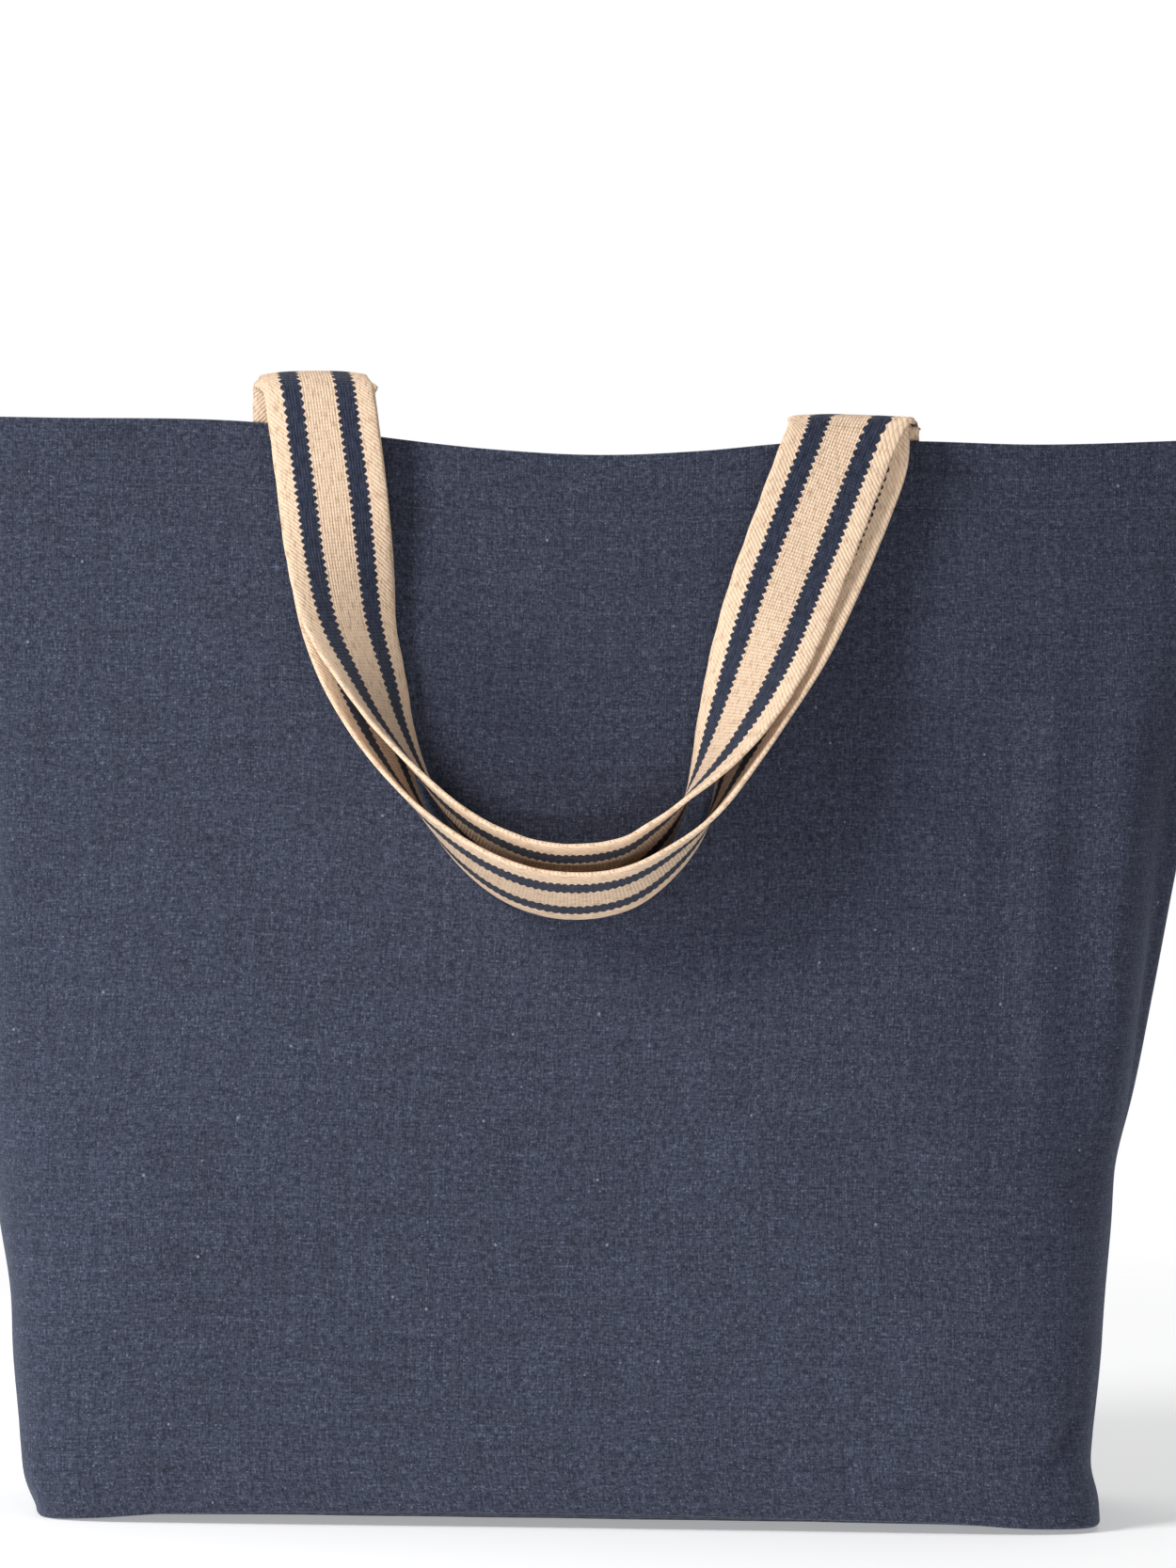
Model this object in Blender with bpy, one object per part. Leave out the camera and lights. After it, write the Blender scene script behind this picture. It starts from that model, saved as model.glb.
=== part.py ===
"""Canvas tote bag with two nested webbing handles.

Frame: X runs along the bag's width, Y from the front panel to the back panel, Z up.
The origin is the centre of the base panel's underside. Metres.
"""

import math

import bmesh
import bpy
from mathutils import Vector

# --- bag body ---------------------------------------------------------------
BASE_WIDTH = 0.360  # across the flat base, X
BASE_DEPTH = 0.140  # front to back, Y
TOP_HALF_WIDTH = 0.2460  # centre to side seam at the mouth
TOP_HALF_GAPE = 0.0235  # mid-mouth to the front panel's face
SIDE_HEIGHT = 0.382  # mouth height at the side seams
MIDDLE_HEIGHT = 0.371  # mouth height half way along each panel
CANVAS = 0.0015  # canvas thickness
CLEAR = 0.0003  # gap kept between neighbouring pieces
STITCH_OUT = 0.0009  # raised thread lines stand this far off the faceted panels
BASE_THICK = 0.0020
HEM_DROP = 0.0235  # depth of the turned-down top hem

# --- handles ----------------------------------------------------------------
WEB_WIDTH = 0.038
WEB_THICK = 0.0018
END_X = 0.0935  # handle end to the bag's centre line
END_TUCK = 0.0300  # length of webbing sewn below the mouth
HINGE_Y = -0.0275  # axis both handles turn about, over the front edge inside the bends
HINGE_Z = 0.3945
FRONT_OUT_Y = -0.0305  # front handle's outer strand at the mouth
BACK_OUT_Y = -0.0355  # back handle's outer strand, lying on the front one

# half-width of the bag at rising heights
WIDTH_RULE = (
    (0.000, 0.1800),
    (0.020, 0.1870),
    (0.055, 0.1912),
    (0.105, 0.1955),
    (0.228, 0.2110),
    (0.300, 0.2260),
    (0.382, TOP_HALF_WIDTH),
)


def clear_scene():
    for ob in list(bpy.data.objects):
        bpy.data.objects.remove(ob, do_unlink=True)


def smooth(t):
    t = min(max(t, 0.0), 1.0)
    return t * t * (3.0 - 2.0 * t)


def along(rule, t):
    """Value of a piecewise rule at t, eased with a cubic through its points."""
    if t <= rule[0][0]:
        return rule[0][1]
    if t >= rule[-1][0]:
        return rule[-1][1]
    for k in range(len(rule) - 1):
        a, b = rule[k], rule[k + 1]
        if t <= b[0]:
            break
    p = rule[max(k - 1, 0)]
    q = rule[min(k + 2, len(rule) - 1)]
    h = b[0] - a[0]
    s = (t - a[0]) / h
    ma = (b[1] - p[1]) / max(b[0] - p[0], 1e-9) * h
    mb = (q[1] - a[1]) / max(q[0] - a[0], 1e-9) * h
    return (
        (2 * s**3 - 3 * s**2 + 1) * a[1]
        + (s**3 - 2 * s**2 + s) * ma
        + (-2 * s**3 + 3 * s**2) * b[1]
        + (s**3 - s**2) * mb
    )


def half_width(z):
    return along(WIDTH_RULE, z)


def half_depth(z):
    t = z / MIDDLE_HEIGHT
    return BASE_DEPTH / 2 * (1 - t) + TOP_HALF_GAPE * t + 0.004 * math.sin(math.pi * min(t, 1))


def section(z, count):
    """Half of the bag's outline at height z, from the left side seam round the front to the right one."""
    w, d = half_width(z), half_depth(z)
    t = min(z / SIDE_HEIGHT, 1.0)
    a = 0.22 + 0.78 * smooth(t)
    b = 0.22 + 1.68 * t**1.2
    e = 0.00015 + (CANVAS + CLEAR) * smooth(t)
    fine = []
    steps = 400
    for i in range(steps + 1):
        phi = math.pi * (1 - i / steps)
        c, s = math.cos(phi), math.sin(phi)
        fine.append(
            (math.copysign(abs(c) ** a, c) * w, -(e + (d - e) * max(s, 0.0) ** b))
        )
    run = [0.0]
    for p, q in zip(fine, fine[1:]):
        run.append(run[-1] + math.hypot(q[0] - p[0], q[1] - p[1]))
    points, k = [], 0
    for i in range(count + 1):
        want = run[-1] * i / count
        while k < steps - 1 and run[k + 1] < want:
            k += 1
        f = (want - run[k]) / max(run[k + 1] - run[k], 1e-12)
        points.append(
            (
                fine[k][0] + (fine[k + 1][0] - fine[k][0]) * f,
                fine[k][1] + (fine[k + 1][1] - fine[k][1]) * f,
            )
        )
    return points


def mouth_height(x):
    return MIDDLE_HEIGHT + (SIDE_HEIGHT - MIDDLE_HEIGHT) * min((x / TOP_HALF_WIDTH) ** 2, 1)


def face_y(x, z):
    """Y of the front panel's outer face at a point seen from the front."""
    pts = section(z, 160)
    mid = [p for p in pts]
    for p, q in zip(mid, mid[1:]):
        if p[0] <= x <= q[0] and q[0] > p[0]:
            f = (x - p[0]) / (q[0] - p[0])
            return p[1] + (q[1] - p[1]) * f
    return mid[0][1]


def shell(points, normals, thick):
    """A closed slab: a grid of outer points and the same grid moved inward by thick."""
    rows, cols = len(points), len(points[0])
    verts = [p for row in points for p in row]
    verts += [
        p - n * thick
        for prow, nrow in zip(points, normals)
        for p, n in zip(prow, nrow)
    ]
    off = rows * cols
    at = lambda r, c: r * cols + c
    faces = []
    for r in range(rows - 1):
        for c in range(cols - 1):
            faces.append((at(r, c), at(r, c + 1), at(r + 1, c + 1), at(r + 1, c)))
            faces.append(
                (
                    off + at(r, c),
                    off + at(r + 1, c),
                    off + at(r + 1, c + 1),
                    off + at(r, c + 1),
                )
            )
    for c in range(cols - 1):
        faces.append((at(0, c), off + at(0, c), off + at(0, c + 1), at(0, c + 1)))
        r = rows - 1
        faces.append((at(r, c), at(r, c + 1), off + at(r, c + 1), off + at(r, c)))
    for r in range(rows - 1):
        faces.append((at(r, 0), at(r + 1, 0), off + at(r + 1, 0), off + at(r, 0)))
        c = cols - 1
        faces.append((at(r, c), off + at(r, c), off + at(r + 1, c), at(r + 1, c)))
    return verts, faces


def grid_normals(points):
    rows, cols = len(points), len(points[0])
    out = []
    for r in range(rows):
        line = []
        for c in range(cols):
            du = points[r][min(c + 1, cols - 1)] - points[r][max(c - 1, 0)]
            dv = points[min(r + 1, rows - 1)][c] - points[max(r - 1, 0)][c]
            line.append(du.cross(dv).normalized())
        out.append(line)
    return out


def material(name, colour, rough):
    mat = bpy.data.materials.get(name) or bpy.data.materials.new(name)
    mat.use_nodes = True
    bsdf = mat.node_tree.nodes["Principled BSDF"]
    bsdf.inputs["Base Color"].default_value = (*colour, 1.0)
    bsdf.inputs["Roughness"].default_value = rough
    bsdf.inputs["Metallic"].default_value = 0.0
    mat.diffuse_color = (*colour, 1.0)
    return mat


def add(name, verts, faces, mat, parent=None, round_it=True):
    mesh = bpy.data.meshes.new(name)
    mesh.from_pydata([tuple(v) for v in verts], [], faces)
    mesh.validate()
    bm = bmesh.new()
    bm.from_mesh(mesh)
    bmesh.ops.recalc_face_normals(bm, faces=bm.faces)
    if bm.calc_volume(signed=True) < 0:
        bmesh.ops.reverse_faces(bm, faces=bm.faces)
    bm.to_mesh(mesh)
    bm.free()
    mesh.update()
    if round_it:
        mesh.shade_smooth()
        mesh.set_sharp_from_angle(angle=math.radians(40))
    ob = bpy.data.objects.new(name, mesh)
    bpy.context.scene.collection.objects.link(ob)
    ob.data.materials.append(mat)
    if parent is not None:
        ob.parent = parent
        ob.matrix_parent_inverse = parent.matrix_world.inverted()
    return ob


def mirror_y(points):
    """The same grid on the back of the bag, with each row turned round so its faces still point out."""
    return [[Vector((p.x, -p.y, p.z)) for p in reversed(row)] for row in points]


# --- body panels --------------------------------------------------------------
PANEL_COLS, PANEL_ROWS = 28, 10


def panel_grid(z_low, inset=0.0, cols=PANEL_COLS, rows=PANEL_ROWS, drop=None):
    """Points over the front face. With drop, only the band that far below the mouth."""
    grid = []
    for r in range(rows + 1):
        v = r / rows
        line = []
        for c in range(cols + 1):
            rough_x = section(SIDE_HEIGHT, cols)[c][0]
            top = mouth_height(rough_x)
            low = z_low if drop is None else top - drop
            z = low + (top - low) * v
            x, y = section(z, cols)[c]
            line.append(Vector((x, y, z)))
        grid.append(line)
    if inset:
        norms = grid_normals(grid)
        grid = [
            [p - n * inset for p, n in zip(prow, nrow)]
            for prow, nrow in zip(grid, norms)
        ]
    return grid


def trim_ends(grid, count):
    return [row[count : len(row) - count] for row in grid]


def build_body():
    canvas = material("slate_canvas", (0.057, 0.063, 0.100), 0.92)
    inside = material("slate_canvas_inside", (0.050, 0.055, 0.088), 0.95)
    binding = material("seam_binding", (0.030, 0.033, 0.055), 0.90)
    thread = material("slate_thread", (0.040, 0.045, 0.075), 0.85)

    z_low = BASE_THICK + CLEAR
    front = panel_grid(z_low)
    verts, faces = shell(front, grid_normals(front), CANVAS)
    add("front_panel", verts, faces, canvas)
    back = mirror_y(front)
    verts, faces = shell(back, grid_normals(back), CANVAS)
    add("back_panel", verts, faces, canvas)

    # flat base, cut to the outline that the panels stand on
    ring = section(0.0, 40)
    outline = [(x, y) for x, y in ring] + [(-x, -y) for x, y in ring]
    n = len(outline)
    verts = [Vector((x, y, 0.0)) for x, y in outline]
    verts += [Vector((x, y, BASE_THICK)) for x, y in outline]
    faces = [tuple(reversed(range(n))), tuple(range(n, 2 * n))]
    faces += [(k, (k + 1) % n, n + (k + 1) % n, n + k) for k in range(n)]
    add("base_panel", verts, faces, canvas, round_it=False)

    # turned-down hems inside the mouth, kept short of the side seams
    hem = trim_ends(panel_grid(z_low, CANVAS + CLEAR, cols=32, rows=2, drop=HEM_DROP), 2)
    verts, faces = shell(hem, grid_normals(hem), CANVAS * 0.8)
    add("front_top_hem", verts, faces, inside)
    hem_back = mirror_y(hem)
    verts, faces = shell(hem_back, grid_normals(hem_back), CANVAS * 0.8)
    add("back_top_hem", verts, faces, inside)

    # bound seam allowances inside the two side seams, from the base to under the hem
    for name, side in (("left", -1), ("right", 1)):
        rows = []
        count = 12
        for k in range(count + 1):
            z = 0.016 + (0.340 - 0.016) * k / count
            t = z / SIDE_HEIGHT
            reach = 0.0095
            stand = CANVAS + 0.0034 + 0.010 * smooth((t - 0.35) / 0.65)
            x = half_width(z) - stand
            rows.append(
                [
                    Vector((side * x, 0.0007, z)),
                    Vector((side * (x - reach), 0.0007, z)),
                ]
            )
        norm = [[Vector((0, 1, 0))] * 2 for _ in rows]
        verts, faces = shell(rows, norm, 0.0014)
        add(f"{name}_side_seam_binding", verts, faces, binding)

    # bound seam allowance standing round the inside of the base
    loop = []
    inner = section(0.0045, PANEL_COLS)
    ring = [Vector((x, y, 0)) for x, y in inner] + [Vector((-x, -y, 0)) for x, y in inner]
    ring = [
        p
        for k, p in enumerate(ring)
        if (p - ring[k - 1]).length > 0.002
    ]
    n = len(ring)
    for k in range(n):
        t = (ring[(k + 1) % n] - ring[k - 1]).normalized()
        nrm = Vector((t.y, -t.x, 0))
        loop.append((ring[k], nrm))
    verts, faces = [], []
    for p, nrm in loop:
        a = p - nrm * (CANVAS + 0.0016)
        b = p - nrm * (CANVAS + 0.0031)
        for q, z in ((a, 0.0026), (a, 0.0110), (b, 0.0110), (b, 0.0026)):
            verts.append(Vector((q.x, q.y, z)))
    for k in range(n):
        for m in range(4):
            a, b = k * 4 + m, k * 4 + (m + 1) % 4
            c, d = ((k + 1) % n) * 4 + (m + 1) % 4, ((k + 1) % n) * 4 + m
            faces.append((a, d, c, b))
    add("base_seam_binding", verts, faces, binding)

    # hem topstitch lines on the outer faces
    line = []
    for k in range(45):
        x = -0.236 + 0.472 * k / 44
        z = mouth_height(x) - HEM_DROP + 0.001
        y = face_y(x, z)
        line.append((Vector((x, y - STITCH_OUT, z)), Vector((x, y - STITCH_OUT, z + 0.0008))))
    for name, sign in (("front", 1), ("back", -1)):
        rows = [[Vector((a.x, sign * a.y, a.z)), Vector((b.x, sign * b.y, b.z))] for a, b in line]
        norm = [[Vector((0, sign, 0))] * 2 for _ in rows]
        verts, faces = shell(rows, norm, 0.0005)
        add(f"{name}_hem_topstitch", verts, faces, thread)

    # stitched rectangles that hold the handle ends, on the outer faces
    for face_name, sign in (("front", 1), ("back", -1)):
        for side_name, side in (("left", -1), ("right", 1)):
            cx = side * END_X
            half, drop0, drop1 = 0.0150, 0.0035, HEM_DROP - 0.0025
            corners = [(-1, drop1), (1, drop1), (1, drop0), (-1, drop0)]
            path = []
            for k in range(4):
                x0, z0 = corners[k]
                x1, z1 = corners[(k + 1) % 4]
                for j in range(3):
                    f = j / 3
                    path.append((x0 + (x1 - x0) * f, z0 + (z1 - z0) * f))
            verts, faces = [], []
            for ux, uz in path:
                for grow in (0.0, 0.0009):
                    x = cx + ux * (half - grow)
                    mid = (drop0 + drop1) / 2
                    dz = mid + (uz - mid) * (1 - grow / ((drop1 - drop0) / 2))
                    z = mouth_height(x) - dz
                    y = face_y(x, z) - STITCH_OUT
                    for lift in (0.0, 0.0005):
                        verts.append(Vector((x, sign * (y - lift), z)))
            m = len(path)
            order = (0, 1, 3, 2)
            for k in range(m):
                for j in range(4):
                    a, b = k * 4 + order[j], k * 4 + order[(j + 1) % 4]
                    c, d = ((k + 1) % m) * 4 + order[(j + 1) % 4], ((k + 1) % m) * 4 + order[j]
                    faces.append((a, b, c, d))
            add(f"{face_name}_{side_name}_box_stitch", verts, faces, thread)


# --- handles --------------------------------------------------------------------
def spline(points, count):
    """Points spread along a smooth curve through the given ones; each is a tuple of numbers."""
    size = len(points[0])
    out = []
    n = len(points) - 1
    for i in range(count + 1):
        u = i / count * n
        k = min(int(u), n - 1)
        s = u - k
        p0 = points[max(k - 1, 0)]
        p1, p2 = points[k], points[k + 1]
        p3 = points[min(k + 2, n)]
        row = []
        for j in range(size):
            m1 = (p2[j] - p0[j]) / 2 if k > 0 else p2[j] - p1[j]
            m2 = (p3[j] - p1[j]) / 2 if k + 2 <= n else p2[j] - p1[j]
            row.append(
                (2 * s**3 - 3 * s**2 + 1) * p1[j]
                + (s**3 - 2 * s**2 + s) * m1
                + (-2 * s**3 + 3 * s**2) * p2[j]
                + (s**3 - s**2) * m2
            )
        out.append(row)
    return out


def ribbon(stations, width, thick):
    """A closed strap through (centre, across, out) stations; out is its facing side."""
    points, normals = [], []
    for centre, across, out in stations:
        points.append(
            [
                centre - across * width / 2 + out * thick / 2,
                centre + across * width / 2 + out * thick / 2,
            ]
        )
        normals.append([out, out])
    return shell(points, normals, thick)


def frame_up(rows):
    """Centres and turning angles into stations. At turn 0 the strap faces the front; turning brings its outer edge forward and its face up."""
    centres = [Vector(r[:3]) for r in rows]
    stations = []
    for k, row in enumerate(rows):
        run = (centres[min(k + 1, len(rows) - 1)] - centres[max(k - 1, 0)]).normalized()
        face = Vector((0, -1, 0))
        face = (face - run * face.dot(run)).normalized()
        across = run.cross(face).normalized()
        turn = row[3]
        out = (face * math.cos(turn) - across * math.sin(turn)).normalized()
        wide = out.cross(run).normalized()
        stations.append((centres[k], -wide, out))
    return stations


# centre line of half a hanging loop: distance from the bag's centre line, height,
# clearance in front of the panel, and turn in degrees, from the mouth to the middle
FRONT_LOOP = (
    (0.0915, 0.3660, 0.0100, 0),
    (0.0870, 0.3440, 0.0068, 13),
    (0.0815, 0.3180, 0.0118, 30),
    (0.0765, 0.2900, 0.0170, 47),
    (0.0680, 0.2660, 0.0212, 68),
    (0.0530, 0.2450, 0.0225, 88),
    (0.0330, 0.2265, 0.0220, 106),
    (0.0110, 0.2170, 0.0210, 116),
)
BACK_LOOP = (
    (0.0905, 0.3660, 0.0145, 0),
    (0.0850, 0.3460, 0.0120, 13),
    (0.0795, 0.3220, 0.0160, 30),
    (0.0750, 0.2970, 0.0210, 47),
    (0.0665, 0.2740, 0.0245, 68),
    (0.0515, 0.2540, 0.0250, 88),
    (0.0320, 0.2360, 0.0235, 106),
    (0.0108, 0.2270, 0.0225, 116),
)


def loop_stations(rule):
    left = [(-x, face_y(-x, z) - out, z, math.radians(turn)) for x, z, out, turn in rule]
    right = [
        (x, face_y(x, z) - out, z, math.radians(turn)) for x, z, out, turn in reversed(rule)
    ]
    # heading down the left strand and up the right one, the turn keeps its sign
    rows = spline(left + right, 56)
    return frame_up(rows)


def build_handles():
    webbing = material("striped_webbing", (0.760, 0.590, 0.400), 0.80)
    for name, rule, inner, outer_y, crown in (
        ("front", FRONT_LOOP, -1, FRONT_OUT_Y, 0.0130),
        ("back", BACK_LOOP, 1, BACK_OUT_Y, 0.0190),
    ):
        pivot = bpy.data.objects.new(f"{name}_handle_hinge", None)
        pivot.location = (0, HINGE_Y, HINGE_Z)
        bpy.context.scene.collection.objects.link(pivot)
        bpy.context.view_layer.update()

        loop = loop_stations(rule)
        verts, faces = ribbon(loop, WEB_WIDTH, WEB_THICK)
        add(f"{name}_handle_loop", verts, faces, webbing, parent=pivot)

        for side_name, side in (("left", -1), ("right", 1)):
            x = side * END_X
            top = mouth_height(x)
            stand = CANVAS + CLEAR + CANVAS * 0.8 + CLEAR + 0.0004 + WEB_THICK / 2
            # sewn end, lying inside the hem of its own panel and tilted with it
            rows = []
            for k in range(3):
                z = top - END_TUCK + (END_TUCK - 0.0015) * k / 2
                slope = (face_y(x + 0.01, z) - face_y(x - 0.01, z)) / 0.02
                y = face_y(x, z) + stand
                across = Vector((1, slope, 0)).normalized()
                out = Vector((slope, -1, 0)).normalized()
                if inner > 0:
                    y, across, out = (
                        -y,
                        Vector((1, -slope, 0)).normalized(),
                        Vector((slope, 1, 0)).normalized(),
                    )
                rows.append((Vector((x, y, z)), across, out))
            verts, faces = ribbon(rows, WEB_WIDTH, WEB_THICK)
            add(f"{name}_handle_{side_name}_end", verts, faces, webbing)

            # bend over the front edge: up from the sewn end, over, and down to the loop
            start = rows[-1][0] + Vector((0, 0, CLEAR))
            ends = loop[0] if side < 0 else loop[-1]
            finish, f_across, f_out = ends
            tip = finish + Vector((0, 0, CLEAR))
            a0 = rows[-1][1]
            a1 = f_across if f_across.x > 0 else -f_across
            high = top + crown
            stations = []
            count = 18
            for k in range(count + 1):
                t = k / count
                if t < 0.2:
                    s = t / 0.2
                    c = start.lerp(Vector((start.x, start.y, top + 0.002)), s)
                elif t > 0.75:
                    s = (t - 0.75) / 0.25
                    c = Vector((tip.x, outer_y, top - 0.001)).lerp(tip, s)
                else:
                    s = (t - 0.2) / 0.55
                    ang = math.pi * s
                    mid = (start.y + outer_y) / 2
                    rad = (start.y - outer_y) / 2
                    xx = start.x + (tip.x - start.x) * s
                    base = top + 0.002 - 0.003 * s
                    c = Vector((xx, mid + rad * math.cos(ang), base + (high - base) * math.sin(ang) ** 0.8 if 0 < s < 1 else base))
                stations.append((c, a0.lerp(a1, smooth(t)).normalized()))
            built = []
            for k, (c, across) in enumerate(stations):
                p, q = stations[max(k - 1, 0)][0], stations[min(k + 1, count)][0]
                run = (q - p).normalized()
                if k == 0:
                    run = Vector((0, 0, 1))
                if k == count:
                    run = Vector((0, 0, -1))
                out = run.cross(across).normalized()
                built.append((c, across, out))
            verts, faces = ribbon(built, WEB_WIDTH, WEB_THICK)
            add(f"{name}_handle_{side_name}_bend", verts, faces, webbing)


clear_scene()
build_body()
build_handles()
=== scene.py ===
"""Looks of the canvas tote bag: cloth shells, striped webbing handles, stitching, floor, light and camera."""

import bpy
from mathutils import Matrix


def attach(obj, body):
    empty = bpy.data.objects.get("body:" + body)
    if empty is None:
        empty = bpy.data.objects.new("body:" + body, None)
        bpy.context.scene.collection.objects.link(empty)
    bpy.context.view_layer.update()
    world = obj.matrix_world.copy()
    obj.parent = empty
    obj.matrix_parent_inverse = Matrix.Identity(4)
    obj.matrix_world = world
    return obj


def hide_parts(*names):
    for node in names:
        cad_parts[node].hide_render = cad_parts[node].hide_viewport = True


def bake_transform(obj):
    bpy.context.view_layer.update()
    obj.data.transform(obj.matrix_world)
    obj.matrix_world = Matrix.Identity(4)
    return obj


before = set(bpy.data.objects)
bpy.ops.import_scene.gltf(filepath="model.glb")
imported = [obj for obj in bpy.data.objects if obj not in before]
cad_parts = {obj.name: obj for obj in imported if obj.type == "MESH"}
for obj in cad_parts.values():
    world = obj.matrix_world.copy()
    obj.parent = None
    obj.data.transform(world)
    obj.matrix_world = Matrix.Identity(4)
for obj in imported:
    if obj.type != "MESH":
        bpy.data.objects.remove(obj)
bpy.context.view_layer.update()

import math

import bpy
import numpy as np
from mathutils import Matrix, Vector

rng = np.random.default_rng(7)

# ------------------------------------------------------------------ small tools


def smooth(t):
    t = np.clip(t, 0.0, 1.0)
    return t * t * (3 - 2 * t)


def rule(points):
    """A smooth curve through (t, value) points, as a function of arrays."""
    t = np.array([p[0] for p in points], float)
    v = np.array([p[1:] for p in points], float)
    h = np.diff(t)
    slope = np.diff(v, axis=0) / h[:, None]
    m = np.zeros_like(v)
    m[1:-1] = (slope[1:] * h[:-1, None] + slope[:-1] * h[1:, None]) / (
        h[1:, None] + h[:-1, None]
    )
    m[0], m[-1] = slope[0], slope[-1]

    def at(x):
        x = np.clip(np.asarray(x, float), t[0], t[-1])
        k = np.clip(np.searchsorted(t, x, side="right") - 1, 0, len(t) - 2)
        s = ((x - t[k]) / h[k])[..., None]
        hk = h[k][..., None]
        out = (
            (2 * s**3 - 3 * s**2 + 1) * v[k]
            + (s**3 - 2 * s**2 + s) * hk * m[k]
            + (-2 * s**3 + 3 * s**2) * v[k + 1]
            + (s**3 - s**2) * hk * m[k + 1]
        )
        return out[..., 0] if v.shape[1] == 1 else out

    return at


def waves(x, z, seed, size, octaves=3):
    """Soft bumpy field made of a few seeded sine waves, about -1 to 1."""
    r = np.random.default_rng(seed)
    out = np.zeros(np.broadcast(x, z).shape)
    total = 0.0
    for o in range(octaves):
        for _ in range(5):
            a = r.uniform(0, math.pi)
            f = 2 * math.pi / (size / (1.7**o)) * r.uniform(0.6, 1.3)
            p = r.uniform(0, 2 * math.pi)
            w = 0.6**o
            out = out + w * np.sin(f * (x * math.cos(a) + z * math.sin(a)) + p)
            total += w * w
    return out / math.sqrt(total * 2)


def new_mesh(name, verts, faces, uv=None, attrs=None, mats=(), face_mats=None):
    me = bpy.data.meshes.new(name)
    verts = np.asarray(verts, float)
    me.from_pydata([tuple(v) for v in verts], [], [tuple(int(i) for i in f) for f in faces])
    if uv is not None:
        layer = me.uv_layers.new(name="UVMap")
        idx = np.zeros(len(me.loops), np.int32)
        me.loops.foreach_get("vertex_index", idx)
        layer.data.foreach_set("uv", np.asarray(uv, np.float32)[idx].ravel())
    for key, values in (attrs or {}).items():
        a = me.attributes.new(key, "FLOAT", "POINT")
        a.data.foreach_set("value", np.asarray(values, np.float32))
    for m in mats:
        me.materials.append(m)
    if face_mats is not None:
        me.polygons.foreach_set("material_index", np.asarray(face_mats, np.int32))
    me.shade_smooth()
    me.update()
    ob = bpy.data.objects.new(name, me)
    bpy.context.scene.collection.objects.link(ob)
    return ob


def grid_normals(P):
    du = np.gradient(P, axis=1)
    dv = np.gradient(P, axis=0)
    n = np.cross(du, dv)
    return n / np.maximum(np.linalg.norm(n, axis=2, keepdims=True), 1e-12)


def grid_uv(P):
    """Metric cloth coordinates: run along each row from its middle, and height up the columns."""
    R, C = P.shape[:2]
    du = np.linalg.norm(np.diff(P, axis=1), axis=2)
    u = np.concatenate([np.zeros((R, 1)), np.cumsum(du, axis=1)], axis=1)
    u = u - u[:, C // 2 : C // 2 + 1]
    dv = np.linalg.norm(np.diff(P, axis=0), axis=2)
    v = np.concatenate([np.zeros((1, C)), np.cumsum(dv, axis=0)], axis=0)
    v = np.repeat(v.mean(axis=1, keepdims=True), C, axis=1)
    return np.stack([u, v], axis=2)


def cloth_shell(name, P, thick, mats, flip=False, edge_round=True, thin_edge=None):
    """A sheet with real thickness from a grid of outer points; inner side lies thick inward."""
    R, C = P.shape[:2]
    N = grid_normals(P)
    if flip:
        N = -N
    t = np.full((R, C), thick)
    inner = P - N * t[..., None]
    mid = P - N * t[..., None] * 0.5
    uv = grid_uv(P)
    n = R * C
    at = lambda r, c: r * C + c
    verts = [P.reshape(-1, 3), inner.reshape(-1, 3)]
    uvs = [uv.reshape(-1, 2), uv.reshape(-1, 2)]
    faces, fm = [], []
    rr, cc = np.meshgrid(np.arange(R - 1), np.arange(C - 1), indexing="ij")
    a, b, c, d = at(rr, cc), at(rr, cc + 1), at(rr + 1, cc + 1), at(rr + 1, cc)
    outer_f = np.stack([a, b, c, d], axis=-1).reshape(-1, 4)
    inner_f = np.stack([a, d, c, b], axis=-1).reshape(-1, 4) + n
    if flip:
        outer_f, inner_f = outer_f[:, ::-1], inner_f[:, ::-1]
    faces += outer_f.tolist() + inner_f.tolist()
    fm += [0] * len(outer_f) + [1 if len(mats) > 1 else 0] * len(inner_f)
    # rounded rim: one more row of points half way through the thickness, pushed outward
    rim = (
        [(0, c) for c in range(C)]
        + [(r, C - 1) for r in range(1, R)]
        + [(R - 1, c) for c in range(C - 2, -1, -1)]
        + [(r, 0) for r in range(R - 2, 0, -1)]
    )
    m = len(rim)
    push = []
    for r, c in rim:
        r2 = min(max(r, 1), R - 2)
        c2 = min(max(c, 1), C - 2)
        v = P[r, c] - P[r2, c2]
        v = v - N[r, c] * np.dot(v, N[r, c])
        push.append(v / max(np.linalg.norm(v), 1e-9))
    extra = np.array([mid[r, c] + p * thick * 0.45 for (r, c), p in zip(rim, push)])
    verts.append(extra)
    uvs.append(np.array([uv[r, c] for r, c in rim]))
    base = 2 * n
    for k in range(m):
        k2 = (k + 1) % m
        o0, o1 = at(*rim[k]), at(*rim[k2])
        i0, i1 = o0 + n, o1 + n
        e0, e1 = base + k, base + k2
        q1, q2 = [o0, e0, e1, o1], [e0, i0, i1, e1]
        if flip:
            q1, q2 = q1[::-1], q2[::-1]
        faces += [q1, q2]
        fm += [0, 0]
    return new_mesh(
        name, np.concatenate(verts), faces, np.concatenate(uvs), mats=mats, face_mats=fm
    )


# ------------------------------------------------------------------ node material helpers


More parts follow.
